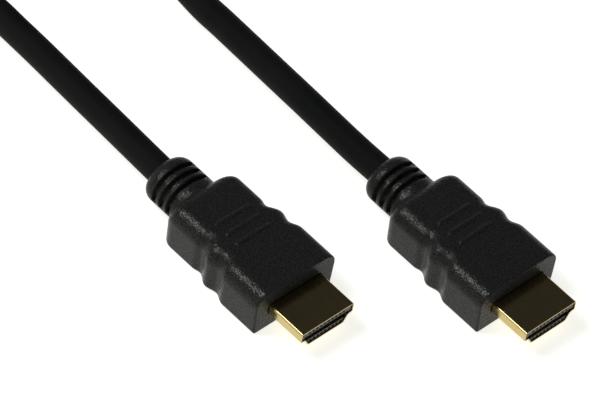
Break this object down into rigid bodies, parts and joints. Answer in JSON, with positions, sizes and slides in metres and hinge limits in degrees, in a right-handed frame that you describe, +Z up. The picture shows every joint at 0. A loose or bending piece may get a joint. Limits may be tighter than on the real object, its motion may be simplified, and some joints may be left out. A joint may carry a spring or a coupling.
{
  "type": "hdmi cable",
  "caption": "Round black video cable, coiled and tied, with a moulded grip and a gold-plated full-size plug on each end.",
  "frame": {"origin": "on the floor, at the middle of the box around the two plugs", "axes": "+X along the plugs towards their metal tips, +Z up, +Y from plug a to plug b"},
  "size_m": [0.2168, 0.0929, 0.014],
  "materials": {
    "plug_mould": "black flexible PVC with a fine spark-eroded texture",
    "cable_jacket": "smooth satin black PVC jacket",
    "shell_gold": "polished gold plating on drawn steel",
    "contact_gold": "gold-plated copper alloy spring",
    "insulator": "black moulded thermoplastic",
    "coil_tie": "black PVC-covered wire tie, satin"
  },
  "bodies": {
    "root": {"cable_lead_a": "cable_jacket", "cable_lead_b": "cable_jacket", "cable_coil": "cable_jacket", "coil_tie": "coil_tie", "plug_a_overmould": "plug_mould", "plug_a_shell": "shell_gold", "plug_a_insulator": "insulator", "plug_a_contact_upper_1": "contact_gold", "plug_a_contact_upper_2": "contact_gold", "plug_a_contact_upper_3": "contact_gold", "plug_a_contact_upper_4": "contact_gold", "plug_a_contact_upper_5": "contact_gold", "plug_a_contact_upper_6": "contact_gold", "plug_a_contact_upper_7": "contact_gold", "plug_a_contact_upper_8": "contact_gold", "plug_a_contact_upper_9": "contact_gold", "plug_a_contact_upper_10": "contact_gold", "plug_a_contact_lower_1": "contact_gold", "plug_a_contact_lower_2": "contact_gold", "plug_a_contact_lower_3": "contact_gold", "plug_a_contact_lower_4": "contact_gold", "plug_a_contact_lower_5": "contact_gold", "plug_a_contact_lower_6": "contact_gold", "plug_a_contact_lower_7": "contact_gold", "plug_a_contact_lower_8": "contact_gold", "plug_a_contact_lower_9": "contact_gold", "plug_b_overmould": "plug_mould", "plug_b_shell": "shell_gold", "plug_b_insulator": "insulator", "plug_b_contact_upper_1": "contact_gold", "plug_b_contact_upper_2": "contact_gold", "plug_b_contact_upper_3": "contact_gold", "plug_b_contact_upper_4": "contact_gold", "plug_b_contact_upper_5": "contact_gold", "plug_b_contact_upper_6": "contact_gold", "plug_b_contact_upper_7": "contact_gold", "plug_b_contact_upper_8": "contact_gold", "plug_b_contact_upper_9": "contact_gold", "plug_b_contact_upper_10": "contact_gold", "plug_b_contact_lower_1": "contact_gold", "plug_b_contact_lower_2": "contact_gold", "plug_b_contact_lower_3": "contact_gold", "plug_b_contact_lower_4": "contact_gold", "plug_b_contact_lower_5": "contact_gold", "plug_b_contact_lower_6": "contact_gold", "plug_b_contact_lower_7": "contact_gold", "plug_b_contact_lower_8": "contact_gold", "plug_b_contact_lower_9": "contact_gold"}
  },
  "joints": []
}
